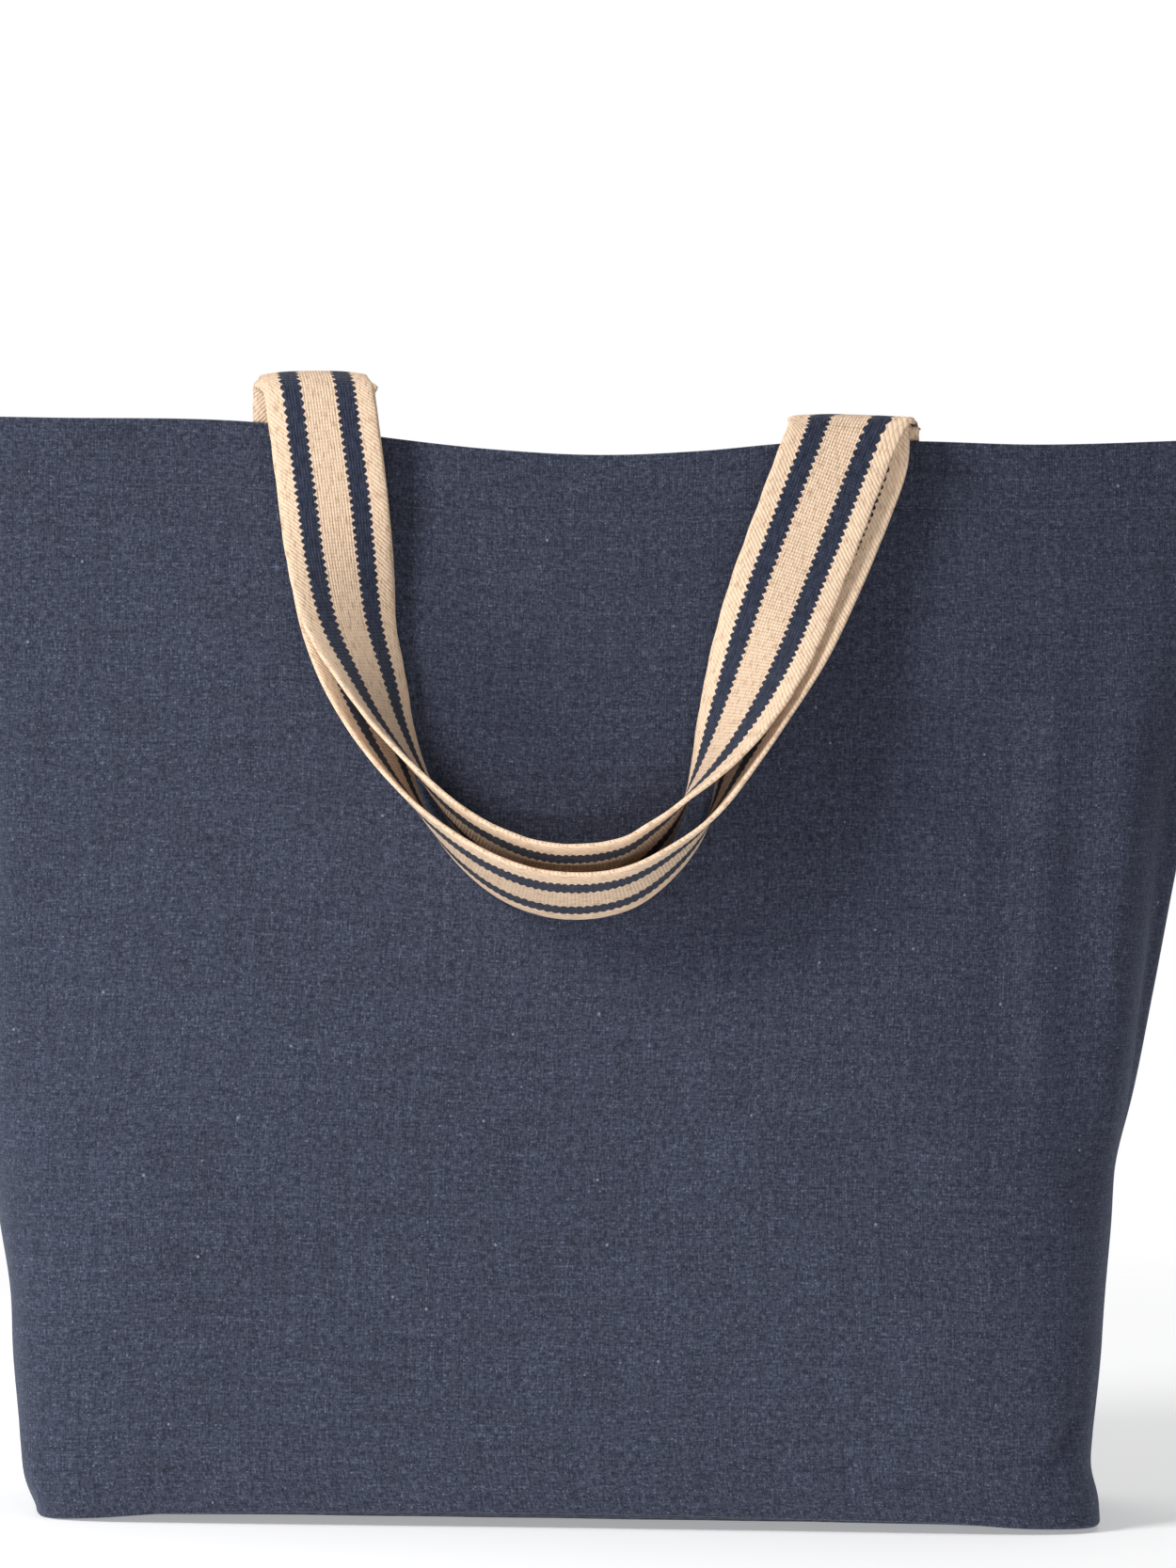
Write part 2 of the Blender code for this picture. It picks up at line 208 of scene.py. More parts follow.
class Nodes:
    def __init__(self, name):
        self.mat = bpy.data.materials.new(name)
        self.mat.use_nodes = True
        self.nt = self.mat.node_tree
        self.bsdf = self.nt.nodes["Principled BSDF"]

    def add(self, kind, **values):
        node = self.nt.nodes.new(kind)
        for k, v in values.items():
            setattr(node, k, v)
        return node

    def link(self, a, b):
        self.nt.links.new(a, b)

    def math(self, op, a, b=None, c=None, clamp=False):
        node = self.add("ShaderNodeMath", operation=op, use_clamp=clamp)
        for i, x in enumerate((a, b, c)):
            if x is None:
                continue
            if hasattr(x, "is_output"):
                self.link(x, node.inputs[i])
            else:
                node.inputs[i].default_value = x
        return node.outputs[0]

    def mix(self, f, a, b, blend="MIX"):
        node = self.add("ShaderNodeMix", data_type="RGBA", blend_type=blend)
        for sock, x in ((node.inputs[0], f), (node.inputs[6], a), (node.inputs[7], b)):
            if hasattr(x, "is_output"):
                self.link(x, sock)
            elif isinstance(x, (int, float)):
                sock.default_value = x
            else:
                sock.default_value = (*x, 1.0)
        return node.outputs[2]

    def ramp(self, f, lo, hi, out_lo=0.0, out_hi=1.0, smooth_it=True):
        node = self.add("ShaderNodeMapRange")
        node.interpolation_type = "SMOOTHSTEP" if smooth_it else "LINEAR"
        self.link(f, node.inputs[0])
        for i, v in zip((1, 2, 3, 4), (lo, hi, out_lo, out_hi)):
            node.inputs[i].default_value = v
        return node.outputs[0]

    def uv(self, sx=1.0, sy=1.0, ox=0.0, oy=0.0):
        """UV coordinates scaled separately across and along."""
        node = self.add("ShaderNodeUVMap", uv_map="UVMap")
        mapping = self.add("ShaderNodeMapping")
        mapping.inputs["Scale"].default_value = (sx, sy, 1.0)
        mapping.inputs["Location"].default_value = (ox, oy, 0.0)
        self.link(node.outputs[0], mapping.inputs[0])
        return mapping.outputs[0]

    def noise(self, vec, scale, detail=2.0, rough=0.5, distort=0.0):
        node = self.add("ShaderNodeTexNoise")
        node.inputs["Scale"].default_value = scale
        node.inputs["Detail"].default_value = detail
        node.inputs["Roughness"].default_value = rough
        node.inputs["Distortion"].default_value = distort
        self.link(vec, node.inputs["Vector"])
        return node.outputs[0]

    def bump(self, height, strength, distance, under=None):
        node = self.add("ShaderNodeBump")
        node.inputs["Strength"].default_value = strength
        node.inputs["Distance"].default_value = distance
        self.link(height, node.inputs["Height"])
        if under is not None:
            self.link(under, node.inputs["Normal"])
        return node.outputs[0]


def canvas_material(name, shade_factor=1.0, seed=0.0):
    """Heathered plain weave: each warp and weft yarn has its own shade, with slubs and lint."""
    n = Nodes(name)
    pitch = 0.00095  # yarn to yarn
    xy = n.add("ShaderNodeUVMap", uv_map="UVMap").outputs[0]
    sep = n.add("ShaderNodeSeparateXYZ")
    n.link(xy, sep.inputs[0])
    u = n.math("DIVIDE", sep.outputs[0], pitch)
    v = n.math("DIVIDE", sep.outputs[1], pitch)
    # wobble keeps the yarns from running ruler-straight
    wob = n.noise(n.uv(90, 90, seed, seed), 1.0, 2.0)
    wob = n.math("MULTIPLY", n.math("SUBTRACT", wob, 0.5), 1.6)
    u = n.math("ADD", u, wob)
    v = n.math("ADD", v, wob)
    su = n.math("SINE", n.math("MULTIPLY", u, math.pi))
    sv = n.math("SINE", n.math("MULTIPLY", v, math.pi))
    # over-under of a plain weave
    over = n.math("MULTIPLY", su, sv)
    over = n.ramp(over, -0.35, 0.35)
    warp_top = n.math("ABSOLUTE", n.math("SINE", n.math("MULTIPLY", u, math.pi)))
    weft_top = n.math("ABSOLUTE", n.math("SINE", n.math("MULTIPLY", v, math.pi)))
    height = n.add("ShaderNodeMix", data_type="FLOAT")
    n.link(over, height.inputs[0])
    n.link(weft_top, height.inputs[2])
    n.link(warp_top, height.inputs[3])
    height = height.outputs[0]
    # heather: short streaks lying along weft and warp
    weft_streak = n.noise(n.uv(330, 1300, seed, 3.0), 1.0, 2.0, 0.6)
    warp_streak = n.noise(n.uv(1300, 330, 5.0, seed), 1.0, 2.0, 0.6)
    streak = n.add("ShaderNodeMix", data_type="FLOAT")
    n.link(over, streak.inputs[0])
    n.link(weft_streak, streak.inputs[2])
    n.link(warp_streak, streak.inputs[3])
    streak = streak.outputs[0]
    long_weft = n.noise(n.uv(28, 420, seed, 9.0), 1.0, 1.0)
    long_warp = n.noise(n.uv(420, 28, 13.0, seed), 1.0, 1.0)
    bars = n.math("ADD", long_weft, long_warp)
    broad = n.noise(n.uv(9, 9, seed, 21.0), 1.0, 3.0, 0.6)
    # a factor below 1 paints the whole canvas darker, as painted shade for the inner faces
    dark = (0.0200 * shade_factor, 0.0228 * shade_factor, 0.0400 * shade_factor)
    base = (0.0525 * shade_factor, 0.0598 * shade_factor, 0.0905 * shade_factor)
    light = (0.1420 * shade_factor, 0.1600 * shade_factor, 0.2320 * shade_factor)
    col = n.mix(n.ramp(streak, 0.36, 0.60), dark, base)
    col = n.mix(n.ramp(streak, 0.56, 0.80), col, light)
    shade = n.math("ADD", n.math("MULTIPLY", n.math("SUBTRACT", bars, 1.0), 0.55), 1.0)
    shade = n.math(
        "ADD", shade, n.math("MULTIPLY", n.math("SUBTRACT", broad, 0.5), 0.22)
    )
    # painted shade: the low spots of the weave between the yarns are darkened
    valley_shade = n.ramp(height, 0.0, 0.45, 0.66, 1.0)
    shade = n.math("MULTIPLY", shade, valley_shade)
    hsv = n.add("ShaderNodeHueSaturation")
    n.link(col, hsv.inputs["Color"])
    n.link(shade, hsv.inputs["Value"])
    lint = n.add("ShaderNodeTexVoronoi", feature="F1")
    lint.inputs["Scale"].default_value = 1.0
    lint.inputs["Randomness"].default_value = 1.0
    n.link(n.uv(75, 75, seed, 2.0), lint.inputs["Vector"])
    fleck = n.ramp(lint.outputs["Distance"], 0.030, 0.050, 1.0, 0.0)
    col = n.mix(n.math("MULTIPLY", fleck, 0.55), hsv.outputs[0], (0.30, 0.32, 0.38))
    n.link(col, n.bsdf.inputs["Base Color"])
    rough = n.ramp(streak, 0.3, 0.7, 0.98, 0.86)
    n.link(rough, n.bsdf.inputs["Roughness"])
    n.bsdf.inputs["Specular IOR Level"].default_value = 0.18
    n.bsdf.inputs["Sheen Weight"].default_value = 0.22
    n.bsdf.inputs["Sheen Roughness"].default_value = 0.45
    n.bsdf.inputs["Sheen Tint"].default_value = (0.62, 0.70, 0.92, 1.0)
    pill = n.noise(n.uv(520, 520, 1.0, seed), 1.0, 3.0, 0.65)
    b = n.bump(height, 0.55, 0.00028)
    b = n.bump(pill, 0.25, 0.00030, b)
    b = n.bump(broad, 0.10, 0.0040, b)
    n.link(b, n.bsdf.inputs["Normal"])
    return n.mat


def thread_material(name, colour, twist=1500.0):
    n = Nodes(name)
    obj = n.add("ShaderNodeTexCoord").outputs["Object"]
    fine = n.noise(obj, 900.0, 3.0, 0.6)
    wave = n.add("ShaderNodeTexWave", wave_type="BANDS", bands_direction="DIAGONAL")
    wave.inputs["Scale"].default_value = twist / 6.0
    wave.inputs["Distortion"].default_value = 1.0
    n.link(obj, wave.inputs["Vector"])
    col = n.mix(n.ramp(fine, 0.3, 0.7), [c * 0.75 for c in colour], [c * 1.25 for c in colour])
    n.link(col, n.bsdf.inputs["Base Color"])
    n.link(n.ramp(fine, 0.3, 0.7, 0.9, 0.75), n.bsdf.inputs["Roughness"])
    n.bsdf.inputs["Specular IOR Level"].default_value = 0.3
    n.bsdf.inputs["Sheen Weight"].default_value = 0.3
    b = n.bump(wave.outputs[0], 0.4, 0.0001)
    n.link(b, n.bsdf.inputs["Normal"])
    return n.mat


def webbing_material(name):
    """Cream cotton webbing with two navy stripes. U runs across 0 to 1, V along in metres."""
    n = Nodes(name)
    xy = n.add("ShaderNodeUVMap", uv_map="UVMap").outputs[0]
    sep = n.add("ShaderNodeSeparateXYZ")
    n.link(xy, sep.inputs[0])
    u, v = sep.outputs[0], sep.outputs[1]
    pick = 0.0026
    # scalloped stripe edges: each pick bulges over the boundary
    scallop = n.math("ABSOLUTE", n.math("SINE", n.math("MULTIPLY", v, math.pi / pick)))
    jitter = n.noise(n.uv(3.0, 600.0), 1.0, 2.0)
    edge = n.math(
        "ADD",
        n.math("MULTIPLY", n.math("SUBTRACT", scallop, 0.6), 0.031),
        n.math("MULTIPLY", n.math("SUBTRACT", jitter, 0.5), 0.022),
    )
    mid = n.math("ABSOLUTE", n.math("SUBTRACT", u, 0.5))  # 0 in the middle, 0.5 at edges
    m1 = n.math("ADD", mid, edge)
    inner = n.ramp(m1, 0.155, 0.161)
    m2 = n.math("SUBTRACT", mid, edge)
    outer = n.ramp(m2, 0.330, 0.336, 1.0, 0.0)
    navy = n.math("MULTIPLY", inner, outer)
    # weave: ribs across the middle, twill on the margins
    rib = n.math("ABSOLUTE", n.math("SINE", n.math("MULTIPLY", v, math.pi / 0.00130)))
    cols = n.math("ABSOLUTE", n.math("SINE", n.math("MULTIPLY", u, math.pi * 38.0)))
    plain = n.math("MULTIPLY", n.math("ADD", rib, 0.35), n.math("ADD", cols, 0.55))
    diag = n.math(
        "ADD", n.math("MULTIPLY", u, 0.038 / 0.0017), n.math("DIVIDE", v, 0.0017)
    )
    twill = n.math("ABSOLUTE", n.math("SINE", n.math("MULTIPLY", diag, math.pi)))
    on_margin = n.ramp(mid, 0.30, 0.34)
    h = n.add("ShaderNodeMix", data_type="FLOAT")
    n.link(on_margin, h.inputs[0])
    n.link(plain, h.inputs[2])
    n.link(n.math("ADD", n.math("MULTIPLY", twill, 0.7), 0.5), h.inputs[3])
    height = h.outputs[0]
    fuzz = n.noise(n.uv(38.0, 1400.0), 1.0, 3.0, 0.65)
    yarn = n.noise(n.uv(46.0, 260.0, 3.0, 1.0), 1.0, 2.0, 0.6)
    broad = n.noise(n.uv(1.4, 28.0, 7.0, 4.0), 1.0, 2.0)
    cream_lo = (0.520, 0.345, 0.215)
    cream_mid = (0.840, 0.615, 0.435)
    cream_hi = (0.900, 0.745, 0.590)
    cream = n.mix(n.ramp(yarn, 0.25, 0.55), cream_lo, cream_mid)
    cream = n.mix(n.ramp(fuzz, 0.50, 0.80), cream, cream_hi)
    navy_col = n.mix(n.ramp(yarn, 0.3, 0.7), (0.012, 0.017, 0.036), (0.038, 0.047, 0.082))
    col = n.mix(navy, cream, navy_col)
    # painted shade: the weave's low spots are darker, times a broad random tone of the yarn
    shade = n.ramp(height, 0.0, 1.1, 0.72, 1.05)
    shade = n.math(
        "MULTIPLY", shade, n.math("ADD", n.math("MULTIPLY", broad, 0.16), 0.92)
    )
    hsv = n.add("ShaderNodeHueSaturation")
    n.link(col, hsv.inputs["Color"])
    n.link(shade, hsv.inputs["Value"])
    n.link(hsv.outputs[0], n.bsdf.inputs["Base Color"])
    n.link(n.ramp(fuzz, 0.3, 0.7, 0.92, 0.78), n.bsdf.inputs["Roughness"])
    n.bsdf.inputs["Specular IOR Level"].default_value = 0.25
    n.bsdf.inputs["Sheen Weight"].default_value = 0.08
    n.bsdf.inputs["Sheen Roughness"].default_value = 0.5
    n.bsdf.inputs["Sheen Tint"].default_value = (1.0, 0.93, 0.82, 1.0)
    step = n.ramp(navy, 0.0, 1.0, 1.0, 0.0)
    b = n.bump(height, 0.7, 0.00035)
    b = n.bump(fuzz, 0.25, 0.00025, b)
    b = n.bump(step, 0.35, 0.00030, b)
    n.link(b, n.bsdf.inputs["Normal"])
    return n.mat


def tape_material(name):
    n = Nodes(name)
    weft = n.noise(n.uv(300, 1500), 1.0, 2.0)
    rib = n.add("ShaderNodeUVMap", uv_map="UVMap").outputs[0]
    sep = n.add("ShaderNodeSeparateXYZ")
    n.link(rib, sep.inputs[0])
    h = n.math("ABSOLUTE", n.math("SINE", n.math("MULTIPLY", sep.outputs[1], math.pi / 0.0009)))
    col = n.mix(n.ramp(weft, 0.3, 0.7), (0.016, 0.018, 0.030), (0.045, 0.050, 0.078))
    n.link(col, n.bsdf.inputs["Base Color"])
    n.link(n.ramp(weft, 0.3, 0.7, 0.95, 0.8), n.bsdf.inputs["Roughness"])
    n.bsdf.inputs["Sheen Weight"].default_value = 0.25
    n.link(n.bump(h, 0.6, 0.0002), n.bsdf.inputs["Normal"])
    return n.mat


canvas = canvas_material("canvas_outside", 1.0, 0.0)
# inner faces: the same canvas at 0.86 brightness, painted shade for the bag's inside
canvas_in_painted_shade = canvas_material("canvas_inside_painted_shade", 0.86, 40.0)
webbing = webbing_material("striped_webbing")
tape = tape_material("binding_tape")
thread = thread_material("slate_thread", (0.050, 0.056, 0.088))
thread_cream = thread_material("cream_thread", (0.78, 0.62, 0.44))

# ------------------------------------------------------------------ the bag's shape

CLOTH = 0.0011
RAISE = 0.0025  # height of every measured point over the lowest corner
TOP_GAPE = 0.0235
BASE_HALF_DEPTH = 0.070

left_width = rule(
    [
        (0.000, 0.1858),
        (0.010, 0.1902),
        (0.020, 0.1916),
        (0.030, 0.1922),
        (0.050, 0.1938),
        (0.072, 0.1957),
        (0.100, 0.2008),
        (0.150, 0.2060),
        (0.228, 0.2132),
        (0.300, 0.2265),
        (0.383, 0.2480),
    ]
)
right_width = rule(
    [
        (0.000, 0.1858),
        (0.008, 0.1850),
        (0.018, 0.1824),
        (0.030, 0.1824),
        (0.044, 0.1834),
        (0.064, 0.1852),
        (0.100, 0.1890),
        (0.124, 0.1913),
        (0.146, 0.1965),
        (0.184, 0.2036),
        (0.228, 0.2112),
        (0.300, 0.2260),
        (0.383, 0.2465),
    ]
)
front_top = rule(
    [
        (-0.248, 0.3828),
        (-0.190, 0.3822),
        (-0.115, 0.3812),
        (-0.090, 0.3788),
        (-0.066, 0.3757),
        (-0.030, 0.3722),
        (0.000, 0.3710),
        (0.040, 0.3728),
        (0.076, 0.3765),
        (0.118, 0.3776),
        (0.160, 0.3773),
        (0.207, 0.3796),
        (0.248, 0.3825),
    ]
)
back_top = rule(
    [
        (-0.248, 0.3828),
        (-0.190, 0.3800),
        (-0.110, 0.3766),
        (-0.060, 0.3744),
        (0.000, 0.3716),
        (0.060, 0.3722),
        (0.110, 0.3760),
        (0.190, 0.3790),
        (0.248, 0.3825),
    ]
)
# the bottom edge of the front face lifts a little between the corners
foot_lift = rule(
    [
        (-1.0, 0.0003),
        (-0.72, 0.0002),
        (-0.66, 0.0012),
        (-0.596, 0.0026),
        (-0.48, 0.0037),
        (-0.20, 0.0047),
        (0.0, 0.0048),
        (0.38, 0.0040),
        (0.557, 0.0032),
        (0.65, 0.0017),
        (0.72, 0.0013),
        (1.0, 0.0003),
    ]
)


def half_section(z, cols, sign):
    """One half of the outline at each height z, from the left seam over the front (sign -1) or the back (+1)."""
    z = np.asarray(z, float)[:, None]
    steps = 480
    phi = np.linspace(math.pi, 0.0, steps + 1)[None, :]
    t = np.clip(z / 0.3845, 0, 1)
    zz = z - RAISE
    wide = 1 + 0.0147 * smooth((z - 0.015) / 0.05) * smooth((0.385 - z) / 0.10)
    wl, wr = left_width(zz) * wide, right_width(zz) * wide
    a = 0.22 + 0.78 * smooth(t)
    b = 0.22 + 1.68 * t**1.2
    e = 0.0002 + (CLOTH + 0.0002) * smooth((t - 0.2) / 0.8)
    tt = np.clip(z / 0.3735, 0, 1)
    d = BASE_HALF_DEPTH * (1 - tt) + TOP_GAPE * tt + 0.004 * np.sin(math.pi * tt)
    c, s = np.cos(phi), np.maximum(np.sin(phi), 0.0)
    w = np.where(c < 0, wl, wr)
    x = np.sign(c) * np.abs(c) ** a * w
    y = sign * (e + (d - e) * s**b)
    run = np.concatenate(
        [
            np.zeros((len(z), 1)),
            np.cumsum(np.hypot(np.diff(x, axis=1), np.diff(y, axis=1)), axis=1),
        ],
        axis=1,
    )
    want = run[:, -1:] * np.linspace(0, 1, cols + 1)[None, :]
    X = np.stack([np.interp(want[i], run[i], x[i]) for i in range(len(z))])
    Y = np.stack([np.interp(want[i], run[i], y[i]) for i in range(len(z))])
    return X, Y


FOOT_R = 0.0018
ROWS, COLS = 160, 190
TABLE_Z = np.linspace(0.0, 0.386, 194)


def panel_table(sign):
    X, Y = half_section(TABLE_Z, COLS, sign)
    return X, Y


FX, FY = panel_table(-1)
BX, BY = panel_table(1)


def sag(u, v, sign):
    """Small outward moves of the cloth: soft hollows, drag lines and edge ripples. u is -1 to 1 across, v is 0 to 1 up."""
    out = np.zeros(np.broadcast(u, v).shape)
    seed = 3 if sign < 0 else 11
    inside = smooth((1 - np.abs(u)) / 0.12)
    out += 0.0011 * waves(u * 0.25, v * 0.38, seed, 0.20, 3) * inside * (0.35 + 0.65 * v)
    # mouth ripples die away below the hem
    out += 0.0013 * np.sin(u * 9.0 + seed) * smooth((v - 0.80) / 0.2) * inside
    # belly of the standing panel just above the floor and hollow above it
    out += 0.0022 * np.exp(-(((v - 0.10) / 0.10) ** 2)) * (1 - u**4)
    out -= 0.0016 * np.exp(-(((v - 0.55) / 0.22) ** 2)) * (1 - u**2)
    # drag from the handle ends
    for hx in (-0.40, 0.40):
        out += (
            0.0016
            * np.exp(-(((u - hx) / 0.10) ** 2))
            * np.exp(-(((v - 0.98) / 0.22) ** 2))
        )
    return out


def side_fold(u, z, sign):
    """Long soft folds where the side walls tuck in beside the seams."""
    out = np.zeros(np.broadcast(u, z).shape)
    rise = smooth((z - 0.09) / 0.10) * smooth((0.345 - z) / 0.10)
    out += 0.0040 * np.exp(-(((u - 0.86) / 0.045) ** 2)) * rise
    out -= 0.0030 * np.exp(-(((u - 0.955) / 0.030) ** 2)) * rise
    out += 0.0028 * np.exp(-(((u + 0.88) / 0.050) ** 2)) * rise
    out -= 0.0024 * np.exp(-(((u + 0.965) / 0.028) ** 2)) * rise
    # crease above the right foot corner, where the wall kinks in
    if sign < 0:
        low = np.exp(-(((z - 0.032) / 0.012) ** 2))
        lean = 0.06 * (z - 0.032) / 0.03
        out += 0.0017 * np.exp(-(((u - 0.712 - lean) / 0.012) ** 2)) * low
        out -= 0.0022 * np.exp(-(((u - 0.740 - lean) / 0.014) ** 2)) * low
        # soft upright fold inside the right edge
        tall = smooth((z - 0.10) / 0.08) * smooth((0.35 - z) / 0.10)
        out += 0.0016 * np.exp(-(((u - 0.735) / 0.034) ** 2)) * tall
        out -= 0.0010 * np.exp(-(((u - 0.665) / 0.036) ** 2)) * tall
    return out


def panel_grid(sign, rows=ROWS, cols=COLS, extra=None):
    """Outer points of the front or back panel, rows from the foot to the mouth."""
    TX, TY = (FX, FY) if sign < 0 else (BX, BY)
    top = front_top if sign < 0 else back_top
    u = np.linspace(-1, 1, cols + 1)[None, :]
    s = np.linspace(0, 1, rows + 1)
    s = 0.5 * s + 0.5 * (1 - np.cos(math.pi * s)) / 2  # denser rows at foot and mouth
    v = s[:, None]
    ci = np.linspace(0, COLS, cols + 1)
    P = np.zeros((rows + 1, cols + 1, 3))
    for j in range(cols + 1):
        k = min(int(ci[j]), COLS - 1)
        f = ci[j] - k
        tx = TX[:, k] * (1 - f) + TX[:, k + 1] * f
        ty = TY[:, k] * (1 - f) + TY[:, k + 1] * f
        xt = np.interp(0.376, TABLE_Z, tx)
        z1 = float(top(xt)) + RAISE
        z0 = float(foot_lift(u[0, j]))
        # a few extra rows round the foot's radius
        roll = FOOT_R * (1 - np.cos(np.linspace(0, math.pi / 2, 9)))[:-1]
        rest = FOOT_R + (z1 - z0 - FOOT_R) * np.interp(
            np.linspace(0, 1, rows + 1 - 8), np.linspace(0, 1, rows + 1), s
        )
        z = z0 + np.concatenate([roll, rest])
        P[:, j, 0] = np.interp(z, TABLE_Z, tx)
        P[:, j, 1] = np.interp(z, TABLE_Z, ty)
        P[:, j, 2] = z
    N = grid_normals(P)
    if sign > 0:
        N = -N
    move = sag(u, v, sign) + side_fold(u, P[:, :, 2], sign)
    # seams and the outline stay where they are
    move = move * smooth((1 - np.abs(u)) / 0.035)
    P = P + N * move[..., None]
    # the foot rolls under on a small radius
    R = FOOT_R
    h = np.clip(P[:, :, 2] - P[:1, :, 2], 0, R)
    back_off = R - np.sqrt(np.maximum(R * R - (R - h) ** 2, 0))
    flat_n = N * np.array([1, 1, 0])
    flat_n /= np.maximum(np.linalg.norm(flat_n, axis=2, keepdims=True), 1e-9)
    P = P - flat_n * back_off[..., None]
    # hem stitch line pinches the cloth
    drop = P[-1:, :, 2] - P[:, :, 2]
    P = P - N * (0.00050 * np.exp(-(((drop - 0.0232) / 0.0016) ** 2)))[..., None]
    P = P + N * (0.00030 * np.exp(-(((drop - 0.0120) / 0.0075) ** 2)))[..., None]
    return P, N


FRONT, FRONT_N = panel_grid(-1)
BACK, BACK_N = panel_grid(1)


def sample(P, N, xs, zs):
    """Surface point and outward normal at given x and z, by nearest column then row."""
    out, nor = [], []
    for x, z in zip(np.atleast_1d(xs), np.atleast_1d(zs)):
        # column whose x at this height is nearest, among the face columns
        zc = P[:, :, 2]
        k = np.argmin(np.abs(zc - z), axis=0)
        xc = P[k, np.arange(P.shape[1]), 0]
        j = int(np.clip(np.searchsorted(xc, x) - 1, 0, P.shape[1] - 2))
        f = np.clip((x - xc[j]) / max(xc[j + 1] - xc[j], 1e-9), 0, 1)
        col = P[:, j] * (1 - f) + P[:, j + 1] * f
        cn = N[:, j] * (1 - f) + N[:, j + 1] * f
        p = [np.interp(z, col[:, 2], col[:, i]) for i in range(3)]
        m = [np.interp(z, col[:, 2], cn[:, i]) for i in range(3)]
        out.append(p)
        nor.append(np.array(m) / np.linalg.norm(m))
    return np.array(out), np.array(nor)


def stitches(name, pts, normals, mat, length=0.0030, gap=0.0007, radius=0.00030, lift=0.00012):
    """A row of sewn stitches: each a small bent capsule lying on the cloth along the line."""
    pts = np.asarray(pts)
    seg = np.linalg.norm(np.diff(pts, axis=0), axis=1)
    run = np.concatenate([[0], np.cumsum(seg)])
    total = run[-1]
    count = max(int(total / (length + gap)), 1)
    step = total / count
    verts, faces = [], []
    sides, rings = 6, 6
    for k in range(count):
        s0 = k * step + gap / 2
        s1 = (k + 1) * step - gap / 2
        ring_start = len(verts)
        for i in range(rings + 1):
            f = i / rings
            s = s0 + (s1 - s0) * f
            c = np.array([np.interp(s, run, pts[:, j]) for j in range(3)])
            nn = np.array([np.interp(s, run, normals[:, j]) for j in range(3)])
            c2 = np.array([np.interp(min(s + 1e-4, total), run, pts[:, j]) for j in range(3)])
            c1 = np.array([np.interp(max(s - 1e-4, 0), run, pts[:, j]) for j in range(3)])
            t = c2 - c1
            t /= max(np.linalg.norm(t), 1e-12)
            nn = nn - t * nn.dot(t)
            nn /= max(np.linalg.norm(nn), 1e-12)
            side = np.cross(t, nn)
            arch = math.sin(math.pi * f)
            rad = radius * (0.35 + 0.65 * arch**0.5 if 0 < f < 1 else 0.35)
            centre = c + nn * (lift * arch - radius * 0.75 * (1 - arch))
            for m in range(sides):
                ang = 2 * math.pi * m / sides
                verts.append(centre + side * rad * math.cos(ang) + nn * rad * math.sin(ang))
        for i in range(rings):
            for m in range(sides):
                a = ring_start + i * sides + m
                b = ring_start + i * sides + (m + 1) % sides
                faces.append((a, b, b + sides, a + sides))
        faces.append(tuple(ring_start + m for m in reversed(range(sides))))
        faces.append(tuple(ring_start + rings * sides + m for m in range(sides)))
    return new_mesh(name, np.array(verts), faces, mats=[mat])


def join(name, parts):
    bpy.ops.object.select_all(action="DESELECT")
    for p in parts:
        p.select_set(True)
    bpy.context.view_layer.objects.active = parts[0]
    bpy.ops.object.join()
    parts[0].name = name
    parts[0].data.name = name
    return parts[0]


# ------------------------------------------------------------------ body pieces

front = cloth_shell("front_panel_cloth", FRONT, CLOTH, [canvas, canvas_in_painted_shade])
back = cloth_shell("back_panel_cloth", BACK, CLOTH, [canvas, canvas_in_painted_shade], flip=True)
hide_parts("front_panel")
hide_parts("back_panel")
for piece in (front, back):
    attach(piece, "bag")

# base: the outline that the walls stand on, dished a little
BR, BC = 44, 100
uu = np.linspace(-1, 1, BC + 1)
fx = np.interp(np.linspace(0, 1, BC + 1), np.linspace(0, 1, COLS + 1), FRONT[0, :, 0])
base_pts = np.zeros((BR + 1, BC + 1, 3))
xs_f, ys_f = FRONT[0, :, 0], FRONT[0, :, 1]
xs_b, ys_b = BACK[0, :, 0], BACK[0, :, 1]
xl, xr = xs_f.min(), xs_f.max()
xx = xl + 0.0010 + (xr - xl - 0.0020) * (0.5 - 0.5 * np.cos(np.pi * (uu + 1) / 2))


def outline_y(xs, ys, x):
    """Outermost y of a half outline at x."""
    order = np.argsort(xs)
    return np.interp(x, xs[order], ys[order])


half = COLS // 2
for i in range(BR + 1):
    f = i / BR
    for j, x in enumerate(xx):
        yf = outline_y(xs_f, ys_f, x) + 0.0004
        yb = outline_y(xs_b, ys_b, x) - 0.0004
        y = yf + (yb - yf) * f
        wall = FRONT if f < 0.5 else BACK
        lift = float(np.interp(x, wall[0, :, 0], wall[0, :, 2]))
        edge = abs(2 * f - 1)
        z = 0.0002 + (lift - 0.0002) * edge**5
        base_pts[i, j] = (x, y, max(z, 0.0001))
base_pts[:, :, 2] += 0.00015 * (1 + waves(base_pts[:, :, 0], base_pts[:, :, 1], 5, 0.08))
# the grid above is the underside, seen from below
base = cloth_shell("base_panel_cloth", base_pts[::-1], 0.0016, [canvas, canvas_in_painted_shade])
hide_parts("base_panel")
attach(base, "bag")


